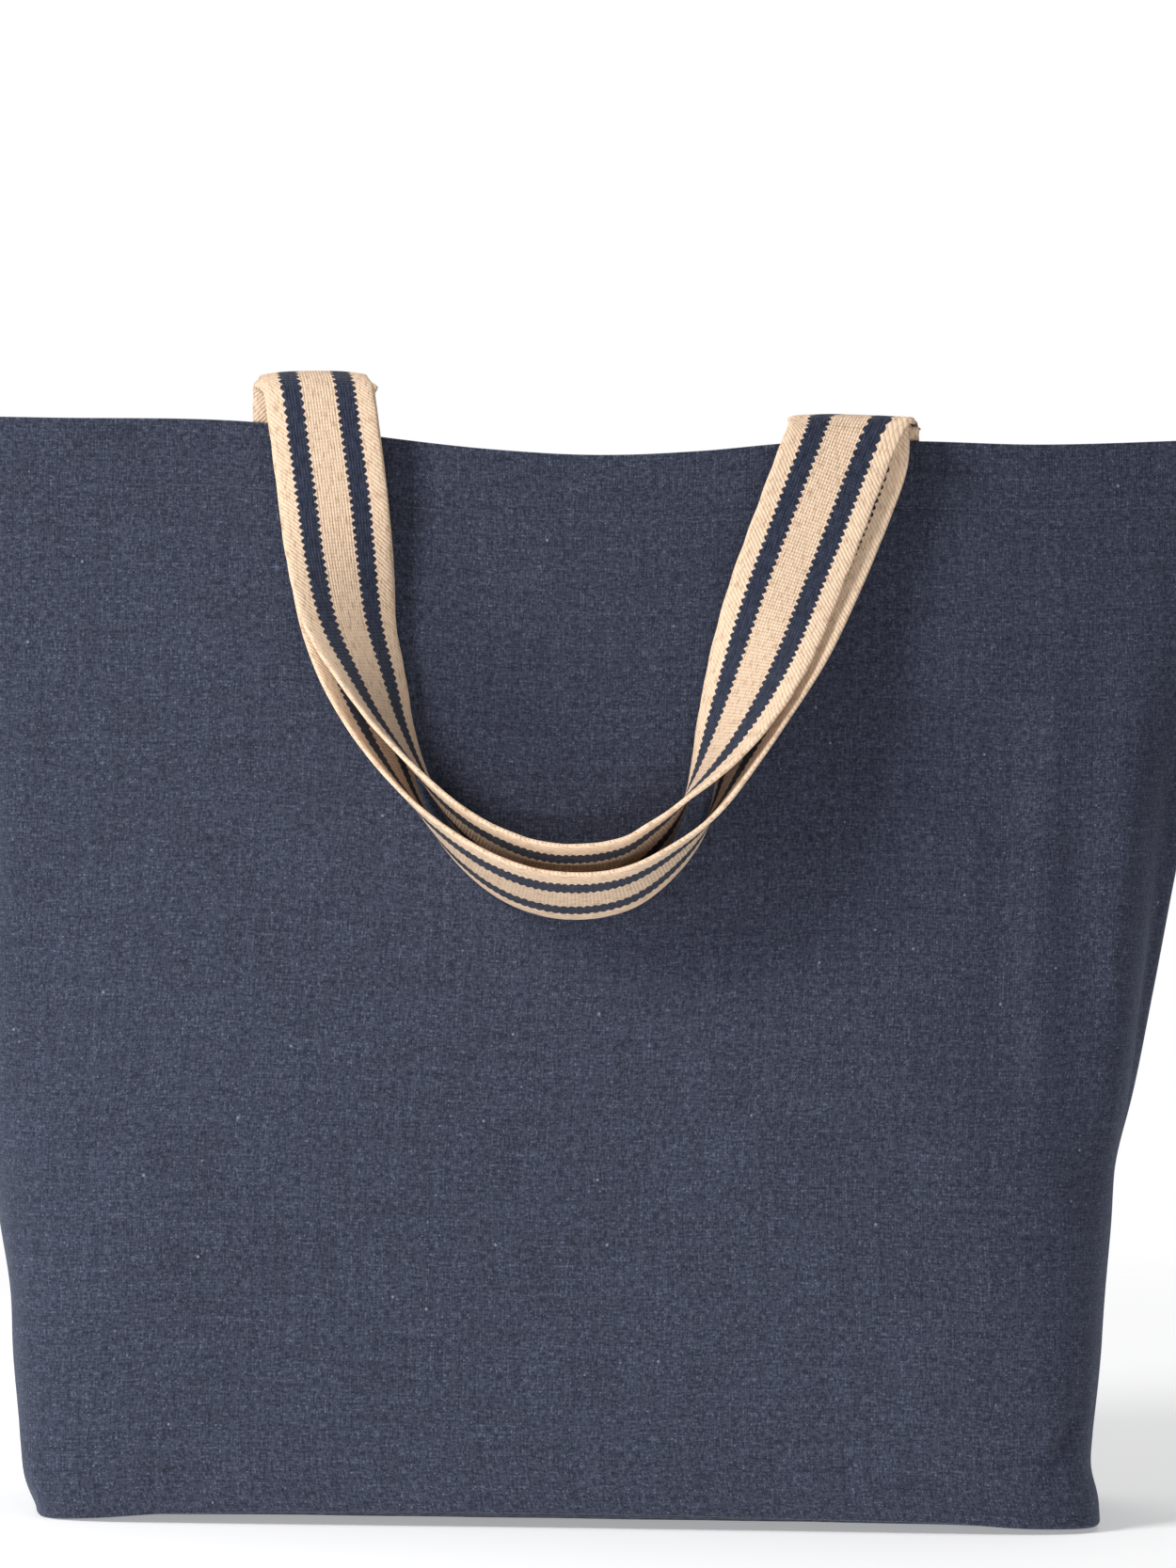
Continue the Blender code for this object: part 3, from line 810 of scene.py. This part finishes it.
def hem_piece(name, P, N, sign, node):
    """Turned-down facing inside the mouth, as a thin cloth shell."""
    R = 16
    cols = slice(7, P.shape[1] - 7)
    top = P[-1, cols]
    rows = []
    for k in range(R + 1):
        f = k / R
        drop = 0.0244 * (1 - f)
        pts = []
        for j in range(top.shape[0]):
            col = P[:, cols][:, j]
            z = top[j, 2] - drop - 0.0002
            p = np.array([np.interp(z, col[:, 2], col[:, i]) for i in range(3)])
            pts.append(p)
        rows.append(pts)
    G = np.array(rows)
    n = grid_normals(G)
    if sign > 0:
        n = -n
    puff = 0.00035 * np.sin(np.linspace(0, math.pi, R + 1))[:, None]
    G = G - n * (CLOTH + 0.00025 + puff)[..., None]
    ob = cloth_shell(name, G, 0.0010, [canvas_in_painted_shade, canvas_in_painted_shade], flip=sign > 0)
    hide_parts(node)
    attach(ob, "bag")
    return ob


hem_piece("front_hem_facing", FRONT, FRONT_N, -1, "front_top_hem")
hem_piece("back_hem_facing", BACK, BACK_N, 1, "back_top_hem")


def on_face(P, N, xs, drops, top):
    zs = np.array([float(top(x)) + RAISE - d for x, d in zip(xs, drops)])
    return sample(P, N, xs, zs)


for name, P, N, top, node in (
    ("front_hem_stitches", FRONT, FRONT_N, front_top, "front_hem_topstitch"),
    ("back_hem_stitches", BACK, BACK_N, back_top, "back_hem_topstitch"),
):
    xs = np.linspace(-0.240, 0.239, 200)
    pts, nor = on_face(P, N, xs, [0.0232] * len(xs), top)
    ob = stitches(name, pts, nor, thread, radius=0.00026)
    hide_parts(node)
    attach(ob, "bag")

END_X = {-1: -0.0982, 1: 0.1000}
for face_name, P, N, top in (
    ("front", FRONT, FRONT_N, front_top),
    ("back", BACK, BACK_N, back_top),
):
    for side_name, side in (("left", -1), ("right", 1)):
        cx = END_X[side]
        parts = []
        hw, d0, d1 = 0.0165, 0.0030, 0.0222
        c = [(-hw, d1), (hw, d1), (hw, d0), (-hw, d0)]
        lines = [(c[0], c[1]), (c[1], c[2]), (c[2], c[3]), (c[3], c[0]), (c[0], c[2]), (c[1], c[3])]
        for a, b in lines:
            f = np.linspace(0, 1, 14)
            xs = cx + a[0] + (b[0] - a[0]) * f
            ds = a[1] + (b[1] - a[1]) * f
            pts, nor = on_face(P, N, xs, ds, top)
            parts.append(stitches("tmp", pts, nor, thread, radius=0.00026))
        ob = join(f"{face_name}_{side_name}_box_stitches", parts)
        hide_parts(f"{face_name}_{side_name}_box_stitch")
        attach(ob, "bag")

# side seam allowances inside, bound in tape
for side_name, side in (("left", -1), ("right", 1)):
    zs = np.linspace(0.016, 0.346, 90)
    wid = (left_width if side < 0 else right_width)(zs)
    t = zs / 0.382
    stand = CLOTH + 0.0010 + 0.014 * smooth((t - 0.30) / 0.70)
    K = 8
    rows = []
    for z, w, st in zip(zs, wid, stand):
        row = []
        for k in range(K + 1):
            f = k / K
            y = 0.0005 * math.sin(z * 70 + side) * f
            row.append((side * (w - st - 0.0095 * f), y, z))
        rows.append(row)
    G = np.array(rows)
    if side < 0:
        n = grid_normals(G)
    ob = cloth_shell(f"{side_name}_seam_tape", G, 0.0012, [tape])
    ob.data.transform(Matrix.Translation((0, -0.0006 * (1 if side < 0 else -1), 0)))
    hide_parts(f"{side_name}_side_seam_binding")
    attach(ob, "bag")

# base seam allowance standing round the inside of the foot
ring_f = FRONT[6]
ring_b = BACK[6][::-1]
ring = np.concatenate([ring_f[:-1], ring_b[:-1]])
keep = [0]
for k in range(1, len(ring)):
    if np.linalg.norm(ring[k, :2] - ring[keep[-1], :2]) > 0.0018:
        keep.append(k)
ring = ring[keep]
M = len(ring)
tan = np.roll(ring, -1, axis=0) - np.roll(ring, 1, axis=0)
tan[:, 2] = 0
tan /= np.linalg.norm(tan, axis=1, keepdims=True)
inw = np.stack([-tan[:, 1], tan[:, 0], np.zeros(M)], axis=1)
prof = [(0.0, 0.0), (0.0, 0.004), (0.0, 0.0082), (0.0004, 0.0090), (0.0010, 0.0090), (0.0014, 0.0082), (0.0014, 0.004), (0.0014, 0.0)]
verts, faces, uvs = [], [], []
run = np.concatenate([[0], np.cumsum(np.linalg.norm(np.diff(ring, axis=0), axis=1))])
for k in range(M):
    for a, h in prof:
        lean = 0.0012 + 0.0003 * math.sin(k * 0.35)
        verts.append(
            np.array([ring[k, 0], ring[k, 1], 0.0034]) + inw[k] * (CLOTH + lean + a + h * 0.10) + np.array([0, 0, h])
        )
        uvs.append((run[k], h))
L = len(prof)
for k in range(M):
    k2 = (k + 1) % M
    for m in range(L):
        m2 = (m + 1) % L
        faces.append((k * L + m, k * L + m2, k2 * L + m2, k2 * L + m))
ob = new_mesh("base_seam_tape", np.array(verts), faces, np.array(uvs), mats=[tape])
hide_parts("base_seam_binding")
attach(ob, "bag")

# ------------------------------------------------------------------ handles

WEB, THICK = 0.0380, 0.0019


def catmull(rows, count):
    """Smooth curve through rows of numbers, spaced evenly along its length."""
    rows = np.array(rows, float)
    n = len(rows) - 1
    fine = []
    for i in range(n * 40 + 1):
        u = min(i / 40, n - 1e-9)
        k = int(u)
        s = u - k
        p0, p1, p2, p3 = (
            rows[max(k - 1, 0)],
            rows[k],
            rows[k + 1],
            rows[min(k + 2, n)],
        )
        d1 = np.linalg.norm(p2[:3] - p1[:3])
        d0 = max(np.linalg.norm(p1[:3] - p0[:3]), 1e-9)
        d2 = max(np.linalg.norm(p3[:3] - p2[:3]), 1e-9)
        m1 = (p2 - p0) / (d0 + d1) * d1 if k > 0 else p2 - p1
        m2 = (p3 - p1) / (d1 + d2) * d1 if k + 2 <= n else p2 - p1
        fine.append(
            (2 * s**3 - 3 * s**2 + 1) * p1
            + (s**3 - 2 * s**2 + s) * m1
            + (-2 * s**3 + 3 * s**2) * p2
            + (s**3 - s**2) * m2
        )
    fine = np.array(fine)
    run = np.concatenate([[0], np.cumsum(np.linalg.norm(np.diff(fine[:, :3], axis=0), axis=1))])
    want = np.linspace(0, run[-1], count + 1)
    out = np.stack([np.interp(want, run, fine[:, j]) for j in range(rows.shape[1])], axis=1)
    return out, run[-1]


def strap(name, stations, count):
    """A webbing strap through stations of centre x, y, z and width direction x, y, z. Returns the piece, its length and its centre line."""
    S, length = catmull(stations, count)
    C = S[:, :3]
    G = S[:, 3:6] / np.linalg.norm(S[:, 3:6], axis=1, keepdims=True)
    square = np.clip(S[:, 6:7], 0, 1)
    T = np.gradient(C, axis=0)
    T /= np.linalg.norm(T, axis=1, keepdims=True)
    W = G - T * np.sum(G * T, axis=1, keepdims=True)
    size = np.linalg.norm(W, axis=1, keepdims=True)
    W /= size
    N = np.cross(W, T)
    # where the strap bends askew over the edge its cross lines stay level instead of square to the run
    W = W * square + G / size * (1 - square)
    run = np.linspace(0, length, count + 1)
    hw, ht = WEB / 2, THICK / 2
    # cross-section: nearly flat faces and rounded selvedges; the stripe steps are only in the webbing's bump
    across = np.concatenate(
        [
            np.linspace(-1, -0.965, 3)[:-1],
            np.linspace(-0.965, 0.965, 23),
            np.linspace(0.965, 1, 3)[1:],
        ]
    )
    prof = []
    for a in across:
        edge = 1 - abs(a)
        h = ht * min(1.0, math.sqrt(max(edge, 0) / 0.045 + 0.04))
        prof.append((a, h))
    up = [(a, h, 0) for a, h in prof]
    down = [(a, -h, 1) for a, h in reversed(prof)]
    ring = up + down
    L = len(ring)
    verts, uvs = [], []
    wob = 0.00026 * np.sin(run * 2 * math.pi / 0.0026)
    slow = 0.0004 * np.sin(run * 2 * math.pi / 0.11 + len(name))
    cup = 0.0009 * np.sin(run * 2 * math.pi / 0.23 + 1.0)
    for k in range(count + 1):
        for a, h, side in ring:
            x = a * hw
            if abs(a) > 0.93:
                x += math.copysign(wob[k], a)
            lift = h + cup[k] * (a * a - 0.33) + slow[k] * a - 0.0014 * S[k, 7] * a * a * abs(a)
            verts.append(C[k] + W[k] * x + N[k] * lift)
            uvs.append(((a + 1) / 2, run[k]))
    faces = []
    for k in range(count):
        for m in range(L):
            m2 = (m + 1) % L
            faces.append((k * L + m, k * L + m2, (k + 1) * L + m2, (k + 1) * L + m))
    half = L // 2
    for m in range(half - 1):
        a, b = m, m + 1
        c, d = L - 2 - m, L - 1 - m
        faces.append((a, d, c, b))
        o = count * L
        faces.append((o + a, o + b, o + c, o + d))
    ob = new_mesh(name, np.array(verts), faces, np.array(uvs), mats=[webbing])
    return ob, length, C


def face_point(x, z, out):
    p, n = sample(FRONT, FRONT_N, [x], [z])
    return p[0] + np.array([0, -1.0, 0]) * out


def turned(run, angle):
    """Width direction at a turning angle: 0 lies across the panel, 90 points to the front."""
    run = run / np.linalg.norm(run)
    face = np.array([0, -1.0, 0])
    face = face - run * face.dot(run)
    face /= np.linalg.norm(face)
    across = np.cross(run, face)
    return across * math.cos(angle) + face * math.sin(angle)


# half loops as measured: x, z, clearance from the panel, turn in degrees
UNDER_LEFT = [
    (-0.0900, 0.3720, 0.0104, 0),
    (-0.0868, 0.3490, 0.0088, 6),
    (-0.0838, 0.3290, 0.0090, 19),
    (-0.0808, 0.3080, 0.0118, 34),
    (-0.0756, 0.2880, 0.0165, 50),
    (-0.0680, 0.2672, 0.0205, 70),
    (-0.0556, 0.2462, 0.0225, 88),
    (-0.0395, 0.2300, 0.0225, 102),
    (-0.0215, 0.2195, 0.0220, 112),
    (-0.0030, 0.2158, 0.0215, 116),
]
UNDER_RIGHT = [
    (0.0160, 0.2185, 0.0215, 113),
    (0.0313, 0.2278, 0.0220, 104),
    (0.0462, 0.2436, 0.0225, 89),
    (0.0560, 0.2640, 0.0208, 72),
    (0.0630, 0.2830, 0.0172, 54),
    (0.0712, 0.3040, 0.0125, 35),
    (0.0780, 0.3230, 0.0095, 20),
    (0.0855, 0.3430, 0.0088, 9),
    (0.0922, 0.3610, 0.0094, 3),
    (0.0955, 0.3715, 0.0104, 0),
]
OVER_LEFT = [
    (-0.0903, 0.3740, 0.0152, 0),
    (-0.0870, 0.3513, 0.0142, 6),
    (-0.0844, 0.3319, 0.0148, 20),
    (-0.0803, 0.3100, 0.0172, 38),
    (-0.0736, 0.2925, 0.0208, 55),
    (-0.0656, 0.2748, 0.0240, 72),
    (-0.0528, 0.2550, 0.0252, 90),
    (-0.0380, 0.2395, 0.0245, 103),
    (-0.0200, 0.2290, 0.0235, 113),
    (-0.0030, 0.2258, 0.0230, 116),
]
OVER_RIGHT = [
    (0.0160, 0.2290, 0.0230, 113),
    (0.0275, 0.2380, 0.0238, 104),
    (0.0365, 0.2485, 0.0248, 92),
    (0.0444, 0.2600, 0.0248, 76),
    (0.0510, 0.2720, 0.0238, 60),
    (0.0580, 0.2875, 0.0212, 43),
    (0.0643, 0.3040, 0.0178, 26),
    (0.0708, 0.3230, 0.0150, 12),
    (0.0788, 0.3450, 0.0142, 4),
    (0.0872, 0.3683, 0.0152, 0),
]


# how far each bend leans sideways over the edge
SWAY = {(1, "front"): -0.0022, (1, "back"): 0.0024}


def handle_stations(which, left, right):
    rows = [(x, z + RAISE, out, turn) for x, z, out, turn in left + right]
    centre = [face_point(x, z, out) for x, z, out, _ in rows]
    loop = []
    for k, (x, z, out, turn) in enumerate(rows):
        run = centre[min(k + 1, len(rows) - 1)] - centre[max(k - 1, 0)]
        w = turned(run, math.radians(turn))
        loop.append((*centre[k], *w, 1.0, 0.0))

    def end(side, first):
        """Sewn end and the bend over the edge, from the bottom of the tail up to the loop."""
        x = END_X[side]
        P, N, top = (FRONT, FRONT_N, front_top) if which == "front" else (BACK, BACK_N, back_top)
        t = float(top(x)) + RAISE
        stand = CLOTH + 0.00025 + 0.00035 + 0.0010 + 0.0003 + THICK / 2
        out = []
        for dz in (0.0300, 0.0200, 0.0100, 0.0010):
            p, n = sample(P, N, [x], [t - dz])
            pl, _ = sample(P, N, [x - 0.01], [t - dz])
            pr, _ = sample(P, N, [x + 0.01], [t - dz])
            w = (pr - pl)[0]
            w[2] = 0
            w /= np.linalg.norm(w)
            q = p[0] - n[0] * stand
            q[0] = x
            q[2] = t - dz
            out.append((*q, *(-w), 0.0, 0.0))
        y0 = out[-1][1]
        crown_z = (
            {(-1, "front"): 0.3978, (1, "front"): 0.3848, (-1, "back"): 0.4008, (1, "back"): 0.3878}
        )[(side, which)] - THICK / 2 - 0.0004 + RAISE
        y1 = first[1] - 0.0004
        x1 = first[0]
        ym, ry = (y0 + y1) / 2, (y0 - y1) / 2
        zb = t + 0.0030
        steep = 0.62
        for a in (35, 62, 90, 118, 145):
            ang = math.radians(a)
            f = a / 180
            c, s = math.cos(ang), math.sin(ang)
            yy = ym + ry * math.copysign(abs(c) ** steep, c)
            zz = zb + (crown_z - zb) * s**0.75
            xx = x + (x1 - x) * f**2.2 + SWAY.get((side, which), 0.0) * s
            out.append((xx, yy, zz, -1.0, 0.0, 0.0, 0.0, s**2))
        return out

    lead = end(-1, loop[0])
    trail = end(1, loop[-1])
    return lead + loop + [tuple(r) for r in reversed(trail)]


def fix_width(rows):
    """Width vectors all start on the outer edge at the left tail and never flip along the strap."""
    rows = [list(r) for r in rows]
    for k in range(1, len(rows)):
        a = np.array(rows[k - 1][3:6])
        b = np.array(rows[k][3:6])
        if a.dot(b) < 0:
            rows[k][3:6] = list(-b)
    return rows


for which, left, right, start, end in (
    ("front", UNDER_LEFT, UNDER_RIGHT, (0, -0.0236, 0), (0, -0.0298, 0)),
    ("back", OVER_LEFT, OVER_RIGHT, (0, -0.0200, 0), (0, -0.0338, 0)),
):
    rows = fix_width(handle_stations(which, left, right))
    ob, length, line = strap(f"{which}_handle_webbing", rows, 420)
    print(which, "handle length", round(length, 4))
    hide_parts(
        f"{which}_handle_loop",
        f"{which}_handle_left_end",
        f"{which}_handle_right_end",
        f"{which}_handle_left_bend",
        f"{which}_handle_right_bend",
    )
    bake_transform(ob)

# ------------------------------------------------------------------ floor, light, camera

floor_mat = Nodes("pale_floor")
floor_mat.bsdf.inputs["Base Color"].default_value = (0.90, 0.90, 0.905, 1.0)
floor_mat.bsdf.inputs["Roughness"].default_value = 0.9
floor_mat.bsdf.inputs["Specular IOR Level"].default_value = 0.1
floor_mat.bsdf.inputs["Emission Color"].default_value = (1, 1, 1, 1)
floor_mat.bsdf.inputs["Emission Strength"].default_value = 0.33
# the floor melts into the white backdrop away from the bag
spot = floor_mat.add("ShaderNodeTexCoord").outputs["Object"]
far = floor_mat.add("ShaderNodeVectorMath", operation="LENGTH")
floor_mat.link(spot, far.inputs[0])
clear = floor_mat.ramp(far.outputs["Value"], 0.55, 1.30)
paper = floor_mat.add("ShaderNodeMixShader")
floor_mat.link(clear, paper.inputs[0])
floor_mat.link(floor_mat.bsdf.outputs[0], paper.inputs[1])
floor_mat.link(floor_mat.add("ShaderNodeBsdfTransparent").outputs[0], paper.inputs[2])
floor_mat.link(paper.outputs[0], floor_mat.nt.nodes["Material Output"].inputs["Surface"])
bpy.ops.mesh.primitive_plane_add(size=6.0, location=(0, 0.0, -0.0002))
floor = bpy.context.object
floor.name = "floor"
floor.data.materials.append(floor_mat.mat)

world = bpy.data.worlds.new("studio")
bpy.context.scene.world = world
world.use_nodes = True
wn = world.node_tree
lit = wn.nodes["Background"]
lit.inputs[0].default_value = (0.96, 0.98, 1.0, 1)
lit.inputs[1].default_value = 0.10
seen = wn.nodes.new("ShaderNodeBackground")
seen.inputs[0].default_value = (1, 1, 1, 1)
seen.inputs[1].default_value = 1.0
ray = wn.nodes.new("ShaderNodeLightPath")
pick = wn.nodes.new("ShaderNodeMixShader")
wn.links.new(ray.outputs["Is Camera Ray"], pick.inputs[0])
wn.links.new(lit.outputs[0], pick.inputs[1])
wn.links.new(seen.outputs[0], pick.inputs[2])
wn.links.new(pick.outputs[0], wn.nodes["World Output"].inputs[0])


def area(name, loc, target, size, power, colour=(1, 1, 1)):
    light = bpy.data.lights.new(name, "AREA")
    light.shape = "RECTANGLE"
    light.size, light.size_y = size
    light.energy = power
    light.color = colour
    ob = bpy.data.objects.new(name, light)
    ob.location = loc
    ob.rotation_euler = (Vector(target) - Vector(loc)).to_track_quat("-Z", "Y").to_euler()
    bpy.context.scene.collection.objects.link(ob)
    return ob


area("key", (-1.40, -1.15, 1.40), (0, 0, 0.2), (0.62, 0.62), 37)
area("side", (-1.30, -0.90, 0.08), (-0.1, 0, 0.10), (0.6, 0.3), 5)
area("overhead", (0.05, 0.75, 1.9), (0, 0.3, 0), (2.2, 2.2), 20)
area("low", (0.10, -1.1, 0.03), (0, 0, 0.24), (0.6, 0.05), 4.0)

cam_data = bpy.data.cameras.new("camera")
cam = bpy.data.objects.new("camera", cam_data)
bpy.context.scene.collection.objects.link(cam)
cam.location = (0.0035, -2.07, 0.2575)
roll = math.radians(0.8)
look = Matrix.Rotation(math.radians(90), 4, "X")
cam.matrix_world = (
    Matrix.Translation(cam.location) @ Matrix.Rotation(-roll, 4, "Y") @ look
)
cam_data.sensor_fit = "VERTICAL"
cam_data.sensor_height = 36.0
cam_data.lens = 36.0 * 6154.0 / 1667.0
cam_data.clip_start = 0.05
bpy.context.scene.camera = cam
bpy.context.scene.view_settings.view_transform = "Standard"
